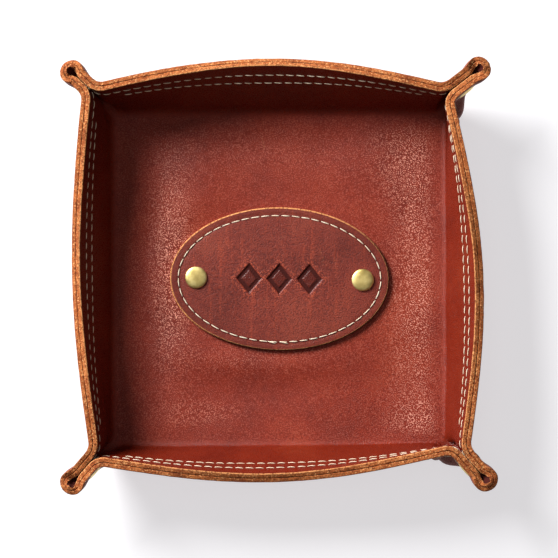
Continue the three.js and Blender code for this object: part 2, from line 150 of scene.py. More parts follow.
NOISE_SEED = 7
NOISE_CELLS = 32  # the noise repeats after so many cells
NOISE_SHIFT = 11.3  # cells between one noise and the next
LATTICE = np.random.default_rng(NOISE_SEED).random((NOISE_CELLS, NOISE_CELLS, NOISE_CELLS))


def cloud(points, cell, number):
    """Smooth noise from -1 to 1 that changes over about one cell, in millimetres. Each number is another
    noise."""
    place = np.asarray(points, float) / cell + NOISE_SHIFT * (number + 1)
    corner = np.floor(place).astype(int)
    part = place - corner
    part = part * part * (3 - 2 * part)
    total = 0.0
    for dx in (0, 1):
        for dy in (0, 1):
            for dz in (0, 1):
                weight = 1.0
                for axis, d in enumerate((dx, dy, dz)):
                    weight = weight * (part[..., axis] if d else 1 - part[..., axis])
                index = (corner + (dx, dy, dz)) % NOISE_CELLS
                total = total + weight * LATTICE[index[..., 0], index[..., 1], index[..., 2]]
    return 2 * total - 1


# ---- The two loops that the middle surface follows ----


def ear_frame(ear):
    """An ear's facts, with its own directions: out along it, and across it to the left of that."""
    pinch, loop = np.array(ear["pinch"], float), np.array(ear["loop"], float)
    length = np.linalg.norm(loop - pinch)
    out = (loop - pinch) / length
    across = np.array([-out[1], out[0]])
    return SimpleNamespace(**{**ear, "pinch": pinch}, out=out, across=across, length=length)


ears = [ear_frame(ear) for ear in EARS]


def neck_depth(ear, way):
    """How far inside the pinch a side meets this ear: the side before it (-1) or after it (+1)."""
    return ear.depths[0 if way < 0 else 1]


def neck_corner(ear, way):
    """The corner between a side's middle line and an ear's wall, before the neck rounds it off."""
    return ear.pinch - ear.out * neck_depth(ear, way) + ear.across * way * PINCH_HALF


def side_point(index, share):
    """A point on a bowed side, as a cubic curve from the ear before it to its own ear."""
    _, out, reach = SIDES[index]
    out = np.array(out, float)
    start, end = neck_corner(ears[index - 1], 1), neck_corner(ears[index], -1)
    bow = out * (reach - (start + end) @ out / 2) / HANDLES_AT_MIDDLE
    first = mix(start, end, SIDE_HANDLE) + bow
    second = mix(end, start, SIDE_HANDLE) + bow
    rest = 1 - share
    return rest**3 * start + 3 * rest**2 * share * first + 3 * rest * share**2 * second + share**3 * end


def floor_sample(corner, way, step, inset):
    """The floor's outline, drawn in by a distance, at one sample of a half corner."""
    radius, centre = FLOOR_CORNER - inset, FLOOR_HALF - FLOOR_CORNER
    diagonal = math.pi / 4 + corner * math.pi / 2
    if step <= SIDE_STEPS:
        side = diagonal + way * math.pi / 4
        out = np.array([math.cos(side), math.sin(side)])
        along = np.array([way * out[1], -way * out[0]])
        return out * (FLOOR_HALF - inset) + along * centre * step / SIDE_STEPS
    angle = diagonal + way * math.pi / 4 * (1 - (step - SIDE_STEPS) / TURN_STEPS)
    middle = np.array([math.cos(diagonal), math.sin(diagonal)]) * centre * math.sqrt(2)
    return middle + radius * np.array([math.cos(angle), math.sin(angle)])


def ear_point(flank, angle, start, fold, radius):
    """A place on half an ear, along it and across it. Its walls are parallel, then they part, and a loop of
    this radius joins them at the fold."""
    share = 2 * np.asarray(flank, float)
    end = fold - radius
    parting = end - np.minimum(LOOP_TAPER, (end - start) / 2)
    out = np.where(share < 1, mix(start, parting, share), mix(parting, end, share - 1))
    across = mix(PINCH_HALF, radius, ease(1, 2, share))
    on_loop = np.asarray(angle) > 0
    return (
        np.where(on_loop, end + radius * np.sin(angle), out),
        np.where(on_loop, radius * np.cos(angle), across),
    )


def rim_sample(corner, way, step):
    """One sample of the rim before (-1) or after (+1) an ear's tip, counted from the side's middle."""
    ear = ears[corner]
    side = corner if way < 0 else (corner + 1) % 4
    # The share of the curve that the neck takes: a cubic curve starts at three times its handle's speed.
    neck_share = NECK / (np.linalg.norm(side_point(side, 1) - side_point(side, 0)) * 3 * SIDE_HANDLE)
    sample = SimpleNamespace(near_ear=1.0, grip=1.0, flank=0.0, angle=0.0, on_ear=False)
    sample.ear_start = NECK - neck_depth(ear, way)
    if step <= SIDE_STEPS:
        share = step / SIDE_STEPS
        sample.plan = side_point(side, 0.5 - way * share * (0.5 - neck_share))
        sample.near_ear, sample.grip = float(ease(0, 1, share)), 0.0
    elif step <= SIDE_STEPS + NECK_STEPS:
        share = (step - SIDE_STEPS) / NECK_STEPS
        turn = neck_corner(ear, way)
        start, end = side_point(side, 0.5 - way * (0.5 - neck_share)), turn + ear.out * NECK
        sample.plan = mix(mix(start, turn, share), mix(turn, end, share), share)
        sample.grip = float(ease(0, 1, share))
    else:
        on_ear = step - SIDE_STEPS - NECK_STEPS
        sample.on_ear = True
        sample.flank = min(1.0, on_ear / FLANK_STEPS)
        sample.angle = max(0.0, (on_ear - FLANK_STEPS) / TIP_STEPS) * math.pi / 2
        out, across = ear_point(sample.flank, sample.angle, sample.ear_start, ear.length + LOOP, LOOP)
        sample.plan = ear.pinch + ear.out * out + ear.across * way * across
    return sample


def sample_loops():
    """All samples round the tray, anticlockwise from the right side's middle, as one array for each fact."""
    rows = []
    for corner, ear in enumerate(ears):
        for place in range(2 * HALF_CORNER):
            way = -1 if place <= HALF_CORNER else 1
            step = place if way < 0 else 2 * HALF_CORNER - place
            sample = rim_sample(corner, way, step)
            sample.way, sample.ear = way, ear
            sample.foot = floor_sample(corner, way, step, 0)
            sample.inner = floor_sample(corner, way, step, CREASE)
            start = floor_sample(corner, way, SIDE_STEPS + NECK_STEPS, 0)
            sample.foot_start = (start - ear.pinch) @ ear.out
            sample.foot_fold = (floor_sample(corner, way, HALF_CORNER, 0) - ear.pinch) @ ear.out
            bulge_rises = float(ease(SIDE_STEPS - FINE, SIDE_STEPS + NECK_STEPS / 2, step))
            bulge_fades = 1 - float(ease(SIDE_STEPS + NECK_STEPS + FLANK_STEPS / 2, HALF_CORNER, step))
            sample.bulge = ear.bulges[0 if way < 0 else 1] * bulge_rises * bulge_fades
            rows.append(sample)
    facts = ("plan", "near_ear", "grip", "flank", "angle", "on_ear", "ear_start", "way", "foot", "inner",
             "foot_start", "foot_fold", "bulge")
    loops = SimpleNamespace(**{fact: np.array([getattr(row, fact) for row in rows]) for fact in facts})
    for fact in ("pinch", "out", "across", "length"):
        setattr(loops, fact, np.array([getattr(row.ear, fact) for row in rows]))
    return loops


loops = sample_loops()
AROUND = len(loops.way)


# ---- The middle surface ----


def wall_ring(level):
    """The middle surface at one share of the wall's height. Near an ear the walls close in on its plane."""
    bend = FLARE * (1 - loops.near_ear)
    lean = level * (1 - bend) + level * level * bend
    plan = mix(loops.foot, loops.plan, lean[:, None])
    reach = plan - loops.pinch
    straight_out, straight_across = (reach * loops.out).sum(1), (reach * loops.across).sum(1)
    rim_across = ((loops.plan - loops.pinch) * loops.across).sum(1)
    radius = mix(PINCH_HALF, LOOP, float(ease(*LOOP_OPENS, level)))
    start = mix(loops.foot_start, loops.ear_start, level)
    fold = mix(loops.foot_fold, loops.length + LOOP, level)
    ear_out, ear_across = ear_point(loops.flank, loops.angle, start, fold, radius)
    closing = loops.grip * float(ease(0, PINCHED_FROM, level))
    out = mix(straight_out, np.where(loops.on_ear, ear_out, straight_out), closing)
    across = mix(straight_across, np.where(loops.on_ear, loops.way * ear_across, rim_across), closing)
    held = loops.pinch + loops.out * out[:, None] + loops.across * across[:, None]
    plan = np.where(loops.grip[:, None] > 0, held, plan)
    swelling = math.sin(math.pi * min(1, level / BULGE_TO)) ** 2
    plan = plan + loops.across * (loops.way * loops.bulge * swelling)[:, None]
    height = mix(MIDDLE, mix(RIM_AT_SIDE, RIM_AT_EAR, loops.near_ear), level)
    return np.column_stack([plan, height])


def flat(plan, height):
    return np.column_stack([plan, np.full(len(plan), height)])


def crease_ring(share):
    """The bend from floor to wall, from 0 at the flat floor to 1 where the wall starts."""
    turn = flat(loops.foot, MIDDLE)
    lower, upper = mix(flat(loops.inner, MIDDLE), turn, share), mix(turn, wall_ring(CREASE_SHARE), share)
    return mix(lower, upper, share)


FLOOR_RINGS = 34
CREASE_RINGS = 12
LOWER_WALL_RINGS = 14
UPPER_WALL_RINGS = 30
UPPER_WALL_FROM = 0.55

floor_shares = np.linspace(0.02, 1, FLOOR_RINGS + 1)[:-1]
wall_levels = np.concatenate([
    np.linspace(CREASE_SHARE, UPPER_WALL_FROM, LOWER_WALL_RINGS + 1)[:-1],
    np.linspace(UPPER_WALL_FROM, 1, UPPER_WALL_RINGS + 1),
])


def surface_grid():
    """The middle surface as rings from the floor's middle to the rim, and its normals, up and inwards."""
    rings = [flat(loops.inner * share, MIDDLE) for share in floor_shares]
    rings += [crease_ring(share) for share in np.linspace(0, 1, CREASE_RINGS + 1)[:-1]]
    rings += [wall_ring(level) for level in wall_levels]
    grid = np.array(rings)
    rise = np.gradient(grid, axis=0)
    turn = np.roll(grid, -1, axis=1) - np.roll(grid, 1, axis=1)
    return grid, unit(np.cross(rise, turn)), unit(rise)


GRID, NORMALS, RISES = surface_grid()
LEVELS = np.concatenate([np.zeros(FLOOR_RINGS), np.zeros(CREASE_RINGS), wall_levels])
ON_WALL = FLOOR_RINGS + CREASE_RINGS
UP_CREASE = np.concatenate([
    np.zeros(FLOOR_RINGS),
    np.arange(CREASE_RINGS) / CREASE_RINGS,
    np.ones(len(wall_levels)),
])
IN_LOOPS = ease(0, 0.5, loops.angle)[None, :] * ease(*LOOP_OPENS, LEVELS)[:, None]


# ---- The liner's upper face ----
THINNEST = 0.6  # least height of the liner's face over the middle surface
ROW_GROOVE = 0.16  # depth of the groove that a row of stitches draws into the leather
GROOVE_REACH = 0.7
BROAD_SWELLS, BROAD_CELL = 0.30, 31  # height and size of each kind of unevenness
SMALL_SWELLS, SMALL_CELL = 0.14, 11
RIPPLES, RIPPLE_CELL = 0.06, 9
LOOP_SHRINK = 0.50  # how much thinner the liner is inside the ears' loops, so that it can turn there
LOOP_CREASES, LOOP_CREASE_CELL = 0.40, 1.5
CLEAR_OF_PATCH = (0.98, 1.35)  # shares of the patch's oval between which the swells start
SWELLS_END = 0.55  # share of the wall's height where the swells have faded

# Soft rises and hollows in the liner, and the places where paler specks in its grain paint a sheen:
# place, reach, amount.
FLOOR_SWELLS = [
    ((-38, 8), (17, 46), 1.5),
    ((-10, -33), (38, 9), 0.9),
    ((-4, -49), (34, 8), -0.8),
    ((80, -8), (19, 60), 1.3),
    ((70, -70), (24, 21), 1.3),
    ((-57, 10), (9, 60), -1.3),
    ((0, 62), (60, 9), -1.2),
    ((10, -80), (60, 13), 1.0),
]
SHEEN_PATCHES = [
    ((-48, 6), (8, 36), 1.0),
    ((61, -3), (10, 56), 0.62),
    ((66, -65), (14, 10), 0.75),
    ((57, 52), (13, 20), 0.45),
    ((-36, -60), (17, 6), 0.30),
    ((0, 58), (60, 12), 0.10),
    ((-15, -36), (32, 5), 0.18),
]


def summed(patches, points):
    """The sum of soft patches of these places, reaches and amounts, at points seen from above."""
    total = 0
    for place, reach, amount in patches:
        away = (points[..., :2] - place) / reach
        total = total + amount * np.exp(-(away**2).sum(-1))
    return total


def liner_face():
    """The liner's upper face over the middle surface. It is pillowed on the floor and into the walls' feet,
    clear of the patch, grooved along the stitches and creased inside the ears' loops."""
    oval = np.hypot(GRID[..., 0] / PATCH_HALF[0], GRID[..., 1] / PATCH_HALF[1])
    soft = BROAD_SWELLS * cloud(GRID, BROAD_CELL, 1) + SMALL_SWELLS * cloud(GRID, SMALL_CELL, 2)
    soft = soft + summed(FLOOR_SWELLS, GRID)
    low_down = 1 - ease(CREASE_SHARE * 0.6, SWELLS_END, LEVELS)[:, None]
    clear_of_ears = 1 - loops.grip * ease(0.2, 1, UP_CREASE)[:, None]
    face = MIDDLE + low_down * clear_of_ears * ease(*CLEAR_OF_PATCH, oval) * soft
    face = face + RIPPLES * cloud(GRID, RIPPLE_CELL, 6)
    for below in ROW_BELOW_RIM.values():
        from_row = (LEVELS - 1) * WALL + below
        face = face - ROW_GROOVE * np.exp(-((from_row / GROOVE_REACH) ** 2))[:, None]
    creased = -LOOP_SHRINK + LOOP_CREASES * cloud(GRID, LOOP_CREASE_CELL, 9)
    return np.maximum(face, THINNEST) + creased * IN_LOOPS


# ---- Meshes ----


def placed(points):
    return np.asarray(points, float) * MM + MIDDLE_PLACE


def make_piece(name, slot, nodes, points, faces, materials, face_slots=None, **marks):
    """Adds a piece that rides on the tray and stands for the named CAD nodes. Marks are values at its points
    that its materials read. The shade, wear and sheen mark above 0 darkens leather and cut edges, mostly as
    painted shade, and below 0 it makes the leather's grain paler, mostly as a painted sheen. Across runs over
    a cut edge from -1, outside, to 1, inside."""
    mesh = bpy.data.meshes.new(name)
    mesh.from_pydata(placed(points).tolist(), [], faces)
    for material in materials:
        mesh.materials.append(material)
    if face_slots is not None:
        mesh.polygons.foreach_set("material_index", np.asarray(face_slots, np.int32))
    mesh.polygons.foreach_set("use_smooth", np.full(len(mesh.polygons), True))
    for mark, values in marks.items():
        mesh.attributes.new(mark, "FLOAT", "POINT").data.foreach_set("value", np.asarray(values, np.float32))
    mesh.update()
    piece = bpy.data.objects.new(name, mesh)
    bpy.context.scene.collection.objects.link(piece)
    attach(piece, "root")
    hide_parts(*nodes)


def ring_faces(rows, size):
    """The squares between rings of this size that close on themselves."""
    k = np.arange(size)
    after = (k + 1) % size
    faces = []
    for row in range(rows - 1):
        low, high = row * size, (row + 1) * size
        faces += np.column_stack([low + k, low + after, high + after, high + k]).tolist()
    return faces


def edge_profile(lower, upper):
    """The cut edge across one layer, as distances from the middle surface and above the rim, with rounded
    corners and a slope."""
    turn = np.radians([0, 30, 60, 90])
    first = [(lower + EDGE_ROUND * (1 - math.cos(a)), EDGE_ROUND * math.sin(a)) for a in turn]
    last = [(upper - EDGE_ROUND * (1 - math.cos(a)), EDGE_ROUND * math.sin(a)) for a in turn[::-1]]
    across = [(mix(first[-1][0], last[0][0], share), EDGE_ROUND) for share in (0.2, 0.4, 0.6, 0.8)]
    profile = first[1:] + across + last[:-1]
    return [(place, above + EDGE_TILT * (MIDDLE - place)) for place, above in profile]


# Rows of the grid that a face uses: few between the layers, few under the floor, and all of them inside.
HIDDEN_ROWS = sorted({*range(0, len(GRID), 4), len(GRID) - 2, len(GRID) - 1})
UNDER_ROWS = sorted({*range(0, FLOOR_RINGS, 5), *range(FLOOR_RINGS, len(GRID))})
ALL_ROWS = list(range(len(GRID)))

DRIFT, DRIFT_CELL = 0.35, 34  # how far the walls wander from the middle surface
EDGE_NOISE, EDGE_NOISE_CELL = 0.12, 1.7  # roughness of the cut edge
EDGE_GRAIN, EDGE_GRAIN_CELL = 0.09, 0.7


def leather_layer(name, slot, node, faces_at, rows, wear, materials):
    """One leather layer: its lower face, its cut edge and its upper face, closed at the floor's middle. Both
    faces are given as distances from the middle surface, with the rows of the grid that they use."""
    drift = DRIFT * cloud(GRID, DRIFT_CELL, 5) * ease(0.1, 1.0, LEVELS)[:, None] * (1 - loops.grip)[None, :]
    middle = GRID + NORMALS * drift[..., None]
    low, high = ((middle + NORMALS * face[..., None])[used] for face, used in zip(faces_at, rows))
    lower, upper = faces_at[0][-1], faces_at[1][-1]
    edge, across = [], []
    for place, above in edge_profile(lower, upper):
        base = middle[-1] + NORMALS[-1] * place[:, None]
        rough = EDGE_NOISE * cloud(base, EDGE_NOISE_CELL, 3) + EDGE_GRAIN * cloud(base, EDGE_GRAIN_CELL, 4)
        edge.append(base + RISES[-1] * (above + rough)[:, None])
        across.append(place / MIDDLE)
    rings = [*low, *edge, *high[::-1]]
    points = np.concatenate([*rings, [low[0].mean(0)], [high[0].mean(0)]])
    faces = ring_faces(len(rings), AROUND)
    slots = np.zeros(len(faces), int)
    band = np.arange(len(faces)) // AROUND
    slots[(band >= len(low) - 1) & (band < len(low) + len(edge))] = 1
    last = (len(rings) - 1) * AROUND
    count = len(rings) * AROUND
    faces += [[(k + 1) % AROUND, k, count] for k in range(AROUND)]
    faces += [[last + k, last + (k + 1) % AROUND, count + 1] for k in range(AROUND)]
    slots = np.concatenate([slots, np.zeros(2 * AROUND, int)])
    edge_wear = np.zeros(len(edge) * AROUND)
    layer_shade_and_sheen = np.concatenate([wear[rows[0]].ravel(), edge_wear, wear[rows[1]][::-1].ravel(), [0, 0]])
    placed_across = np.concatenate([
        np.tile(lower / MIDDLE, len(low)), *across, np.tile(upper / MIDDLE, len(high)), [0, 0],
    ])
    make_piece(name, slot, [node], points, faces, materials, slots, wear=layer_shade_and_sheen, across=placed_across)


def thread_tube(path, ups, radius):
    """Points and faces of one stitch of twisted thread that follows a path, closed at both ends."""
    sides, count = THREAD_SIDES, len(path)
    ahead = unit(np.gradient(path, axis=0))
    aside = unit(np.cross(ahead, ups))
    over = np.cross(aside, ahead)
    run = np.linspace(0, 1, count)
    thin = radius * np.clip(np.sin(np.pi * np.clip(run, 0.04, 0.96)), 0, 1) ** BLUNTNESS
    angles = np.linspace(0, 2 * np.pi, sides, endpoint=False)
    plies = 1 + PLY_DEPTH * np.cos(PLIES * (angles[None, :] - PLY_TWIST * run[:, None]))
    spread = thin[:, None] * plies
    points = path[:, None] + aside[:, None] * (np.cos(angles) * spread)[..., None]
    points = points + over[:, None] * (np.sin(angles) * spread * THREAD_FLATNESS)[..., None]
    faces = ring_faces(count, sides)
    faces.append(list(range(sides))[::-1])
    faces.append([(count - 1) * sides + k for k in range(sides)])
    return points.reshape(-1, 3), faces


def stitched(curve, normals, closed, rng, length=STITCH_LENGTH, skew=STITCH_SLANT):
    """A row of stitches along a curve on the leather: each one comes up, lies flat and goes down again."""
    if closed:
        curve, normals = np.vstack([curve, curve[:1]]), np.vstack([normals, normals[:1]])
    run = np.concatenate([[0], np.cumsum(np.linalg.norm(np.diff(curve, axis=0), axis=1))])
    count = max(1, round(run[-1] / STITCH_PITCH))
    pitch = run[-1] / count

    def at(values, places):
        return np.column_stack([np.interp(places, run, values[:, k]) for k in range(3)])

    points, faces = [], []
    share = np.linspace(0, 1, STITCH_SAMPLES)
    lift = STITCH_RISE * np.sin(np.pi * share) ** BLUNTNESS - STITCH_DEPTH
    for k in range(count):
        middle = (k + 0.5) * pitch + rng.normal(0, PLACE_SPREAD)
        places = middle + (share - 0.5) * (length + rng.normal(0, LENGTH_SPREAD))
        path, ups = at(curve, places), unit(at(normals, places))
        aside = unit(np.cross(unit(np.gradient(path, axis=0)), ups))
        slant = (share - 0.5) * (2 * skew + rng.normal(0, SLANT_SPREAD))
        path = path + ups * lift[:, None] + aside * slant[:, None]
        stitch, squares = thread_tube(path, ups, THREAD_RADIUS)
        start = sum(len(part) for part in points)
        points.append(stitch)
        faces += [[start + v for v in face] for face in squares]
    return np.concatenate(points), faces


def joined(*rows):
    """Several sets of points and faces as one."""
    points, faces, start = [], [], 0
    for row_points, row_faces in rows:
        points.append(row_points)
        faces += [[start + v for v in face] for face in row_faces]
        start += len(row_points)
    return np.concatenate(points), faces


def lathe(profile):
    """Points and faces of a profile of (radius, height) pairs, from axis to axis, turned round Z."""
    steps = LATHE_STEPS
    angles = np.linspace(0, 2 * np.pi, steps, endpoint=False)
    inner = np.array(profile[1:-1])
    rings = [np.column_stack([r * np.cos(angles), r * np.sin(angles), np.full(steps, z)]) for r, z in inner]
    points = np.concatenate([*rings, [(0, 0, profile[0][1])], [(0, 0, profile[-1][1])]])
    faces = ring_faces(len(rings), steps)
    count, last = len(rings) * steps, (len(rings) - 1) * steps
    faces += [[(k + 1) % steps, k, count] for k in range(steps)]
    faces += [[last + k, last + (k + 1) % steps, count + 1] for k in range(steps)]
    return points, faces


# ---- Materials, with their colours in linear light ----
# Darkened leather is mostly painted shade, in the walls and creases, the ears' folds and the patch's stitch
# groove; it also colours the patch's margin and its pressed lozenges.
DARKENED_LEATHER = (0.045, 0.004, 0.002)
# The darkened edge is painted shade, on the side of the patch's cut edge away from the lamp.
PAINTED_EDGE_SHADE = (0.045, 0.006, 0.003)
SCUFF = (0.52, 0.18, 0.09)
STREAK = (0.42, 0.062, 0.026)
# Pale specks that paint the sheen on the liner's floor.
SHEEN_SPECKS = (0.90, 0.40, 0.29)
PALE_FIBRE = (0.90, 0.44, 0.17)
PALE_CORNER = (0.84, 0.38, 0.14)
DARK_FIBRE = (0.16, 0.032, 0.008)
DARK_CORNER = (0.18, 0.045, 0.015)
DARK_SEAM = (0.05, 0.013, 0.006)


class Shade:
    """A material and its node tree, with one short call for each node."""

    def __init__(self, name):
        self.material = bpy.data.materials.new(name)
        self.material.use_nodes = True
        self.tree = self.material.node_tree
        self.surface = self.tree.nodes["Principled BSDF"]
        self.place = self.node("ShaderNodeTexCoord").outputs["Object"]

    def node(self, kind, inputs=None, **settings):
        made = self.tree.nodes.new(kind)
        for key, value in settings.items():
            setattr(made, key, value)
        for key, value in (inputs or {}).items():
            socket = made.inputs[key]
            if isinstance(value, bpy.types.NodeSocket):
                self.tree.links.new(value, socket)
            else:
                socket.default_value = value
        return made

    def noise(self, per_metre, detail=4.0, rough=0.55, stretch=(1, 1, 1), distortion=0.0):
        """Noise from about 0.3 to 0.7, with so many cells in a metre."""
        scaled = self.node("ShaderNodeMapping", {"Vector": self.place, "Scale": stretch})
        inputs = {"Vector": scaled.outputs[0], "Scale": per_metre, "Detail": detail, "Roughness": rough,
                  "Distortion": distortion}
        return self.node("ShaderNodeTexNoise", inputs).outputs["Fac"]

    def mark(self, name):
        """A value that make_piece put at the points."""
        return self.node("ShaderNodeAttribute", attribute_name=name).outputs["Fac"]

    def maths(self, operation, a, b=0.0):
        return self.node("ShaderNodeMath", {0: a, 1: b}, operation=operation).outputs[0]

    def between(self, value, low, high, to_low=0.0, to_high=1.0):
        """The value's place between low and high, eased, as one between to_low and to_high."""
        inputs = {"Value": value, "From Min": low, "From Max": high, "To Min": to_low, "To Max": to_high}
        return self.node("ShaderNodeMapRange", inputs, interpolation_type="SMOOTHSTEP").outputs[0]

    def ramp(self, value, *stops):
        made = self.node("ShaderNodeValToRGB", {"Fac": value})
        marks = made.color_ramp.elements
        while len(marks) < len(stops):
            marks.new(0.5)
        for mark, (position, colour) in zip(marks, stops):
            mark.position = position
            mark.color = (*colour, 1)
        return made.outputs["Color"]

    def blend(self, share, a, b):
        made = self.node("ShaderNodeMix", data_type="RGBA")
        for socket, value in ((made.inputs[0], share), (made.inputs[6], a), (made.inputs[7], b)):
            if isinstance(value, bpy.types.NodeSocket):
                self.tree.links.new(value, socket)
            else:
                socket.default_value = value if isinstance(value, float) else (*value, 1)
        return made.outputs[2]

    def bump(self, height, strength, depth):
        inputs = {"Height": height, "Strength": strength, "Distance": depth}
        return self.node("ShaderNodeBump", inputs).outputs[0]

    def finish(self, colour, roughness, normal, **plain):
        for name, value in (("Base Color", colour), ("Roughness", roughness), ("Normal", normal)):
            self.tree.links.new(value, self.surface.inputs[name])
        for name, value in plain.items():
            self.surface.inputs[name.replace("_", " ")].default_value = value
        return self.material


def leather_material(name, dark, mid, light, pale_specks=SHEEN_SPECKS, grain=2050, streaks=False):
    """Waxy full-grain leather: cloudy colour, a pebbled grain with dark valleys and pale specks, and a few
    paler scuffs. Where the shade, wear and sheen mark is above 0 it is darker, mostly as painted shade, and
    smoother, or dull from 0.65 up, as inside the ears. Where that mark is below 0 the specks are paler, as a
    painted sheen on the liner's floor and a paler rim round the patch's lozenges."""
    shade = Shade(name)
    cloudy = shade.noise(26, 5, 0.6)
    fine = shade.noise(420, 3)
    colour = shade.ramp(cloudy, (0.30, dark), (0.52, mid), (0.74, light))
    colour = shade.blend(shade.between(fine, 0.35, 0.7, 0.0, 0.22), colour, light)
    if streaks:
        drawn = shade.between(shade.noise(330, 5, 0.65, stretch=(1, 0.09, 1), distortion=0.3), 0.53, 0.68)
        colour = shade.blend(shade.maths("MULTIPLY", drawn, 0.40), colour, STREAK)
    scuffs = shade.between(shade.noise(95, 8, 0.72, stretch=(1, 0.5, 1), distortion=0.6), 0.64, 0.74)
    colour = shade.blend(shade.maths("MULTIPLY", scuffs, 0.34), colour, SCUFF)
    wear = shade.mark("wear")
    pebbles = shade.noise(grain, 2, 0.5)
    valleys = shade.between(pebbles, 0.50, 0.36)
    in_valleys = tuple(0.45 * part for part in dark)
    colour = shade.blend(shade.maths("MULTIPLY", valleys, 0.50), colour, in_valleys)
    specks = shade.between(pebbles, 0.53, 0.62)
    paleness = shade.between(wear, 0.25, -1.0)
    colour = shade.blend(shade.maths("MULTIPLY", specks, paleness), colour, pale_specks)
    colour = shade.blend(shade.between(wear, 0.0, 1.0, 0.0, 0.95), colour, DARKENED_LEATHER)
    smoothed = shade.maths(
        "SUBTRACT", shade.between(pebbles, 0.35, 0.65, 0.60, 0.40), shade.between(wear, 0.0, 0.4, 0.0, 0.17)
    )
    roughness = shade.maths("MAXIMUM", smoothed, shade.between(wear, 0.65, 1.0, 0.0, 0.95))
    normal = shade.bump(pebbles, 0.9, 0.00030)
    return shade.finish(colour, roughness, normal, Specular_IOR_Level=0.30)


def edge_material():
    """The raw cut edge: orange tan, with pale and dark fibres, a pale inner corner, a dark outer corner and a
    broken dark seam between the layers. Where the shade, wear and sheen mark is above 0 it is darker, as
    painted shade on the patch edge's side away from the lamp."""
    shade = Shade("cut_edge")
    across = shade.mark("across")
    tan = [(0.32, (0.31, 0.068, 0.013)), (0.5, (0.46, 0.122, 0.027)), (0.7, (0.62, 0.21, 0.060))]
    colour = shade.ramp(shade.noise(150, 4), *tan)
    pale = shade.noise(1250, 3, 0.6)
    colour = shade.blend(shade.between(pale, 0.54, 0.64, 0.0, 0.8), colour, PALE_FIBRE)
    inside = shade.between(across, 0.72, 0.95, 0.0, 0.75)
    colour = shade.blend(inside, colour, PALE_CORNER)
    fibres = shade.noise(1050, 5, 0.8)
    colour = shade.blend(shade.between(fibres, 0.495, 0.575, 0.0, 0.88), colour, DARK_FIBRE)
    outside = shade.between(across, -0.60, -0.95, 0.0, 0.40)
    colour = shade.blend(outside, colour, DARK_CORNER)
    nearness = shade.between(shade.maths("ABSOLUTE", across), 0.13, 0.03)
    broken = shade.between(shade.noise(120, 4, 0.7), 0.46, 0.58, 0.05, 0.85)
    colour = shade.blend(shade.maths("MULTIPLY", nearness, broken), colour, DARK_SEAM)
    colour = shade.blend(shade.between(shade.mark("wear"), 0.0, 1.0, 0.0, 0.95), colour, PAINTED_EDGE_SHADE)
    roughness = shade.between(fibres, 0.3, 0.7, 0.7, 0.92)
    return shade.finish(colour, roughness, shade.bump(fibres, 0.9, 0.0005), Specular_IOR_Level=0.25)


def thread_material():
    """Cream waxed thread, a little darker in its clouds, with fine strands."""
    shade = Shade("waxed_thread")
    colour = shade.ramp(shade.noise(700, 3), (0.35, (0.80, 0.62, 0.42)), (0.6, (0.93, 0.81, 0.62)))
    strands = shade.noise(5200, 2)
    roughness = shade.between(strands, 0.3, 0.7, 0.55, 0.8)
    return shade.finish(colour, roughness, shade.bump(strands, 0.35, 0.0001), Sheen_Weight=0.15)


def brass_material():
    """Satin antique brass, darker in its clouds, with faint scratches."""
    shade = Shade("antique_brass")
    cloudy = shade.noise(260, 5, 0.6)
    brass = [(0.32, (0.64, 0.47, 0.15)), (0.55, (0.84, 0.66, 0.25)), (0.75, (0.94, 0.79, 0.38))]
    colour = shade.ramp(cloudy, *brass)
    scratches = shade.noise(2600, 4, 0.6, stretch=(1, 0.12, 1))
    roughness = shade.between(shade.maths("ADD", cloudy, scratches), 0.7, 1.3, 0.40, 0.56)
    return shade.finish(colour, roughness, shade.bump(scratches, 0.12, 0.00004), Metallic=1.0)


LINER = leather_material(
    "liner_leather_look", dark=(0.17, 0.010, 0.002), mid=(0.252, 0.0185, 0.004), light=(0.34, 0.038, 0.011)
)
OUTER = leather_material(
    "outer_leather_look", dark=(0.12, 0.014, 0.006), mid=(0.19, 0.028, 0.012), light=(0.27, 0.050, 0.024)
)
PATCH = leather_material(
    "patch_leather_look", dark=(0.11, 0.012, 0.007), mid=(0.20, 0.027, 0.016), light=(0.29, 0.052, 0.028),
    pale_specks=(0.48, 0.090, 0.040), grain=1700, streaks=True,
)
EDGE = edge_material()
THREAD = thread_material()
BRASS = brass_material()


# ---- The two leather layers ----
SEAM = 0.015  # half of what shows between the two glued layers
WALL_SHADE = 0.46  # painted shade: how much darker the walls are than the floor, from their creases up
SHEEN_TO = 0.9  # share of the floor's half width beyond which the painted sheen fades

seam = np.full(GRID.shape[:2], SEAM)
underside = np.full(GRID.shape[:2], -MIDDLE)
# The painted sheen lies only on the floor, fading before its edge.
sheen_here = np.concatenate([1 - ease(SHEEN_TO, 1, floor_shares), np.zeros(len(GRID) - FLOOR_RINGS)])
# Painted shade darkens the liner from the creases up the walls; the painted sheen makes its floor's grain
# paler.
liner_wear = WALL_SHADE * ease(0, 0.8, UP_CREASE)[:, None] - sheen_here[:, None] * summed(SHEEN_PATCHES, GRID)
# Painted shade inside the ears: none below where they are pinched, full from where their loops open.
in_ear = ease(0, 1, loops.flank * loops.on_ear)[None, :]
fold_wear = ease(PINCHED_FROM, LOOP_OPENS[0], LEVELS)[:, None] * in_ear
leather_layer(
    "tray_outer_leather", "outer_leather", "outer_leather_panel", faces_at=(underside, -seam),
    rows=(UNDER_ROWS, HIDDEN_ROWS), wear=np.zeros(GRID.shape[:2]), materials=[OUTER, EDGE],
)
leather_layer(
    "tray_liner_leather", "liner_leather", "liner_leather_panel", faces_at=(seam, liner_face()),
    rows=(HIDDEN_ROWS, ALL_ROWS), wear=liner_wear + fold_wear, materials=[LINER, EDGE],
)


# ---- Rim stitching ----
STITCH_BED = 0.1  # how far the stitches on the lined face are drawn into it


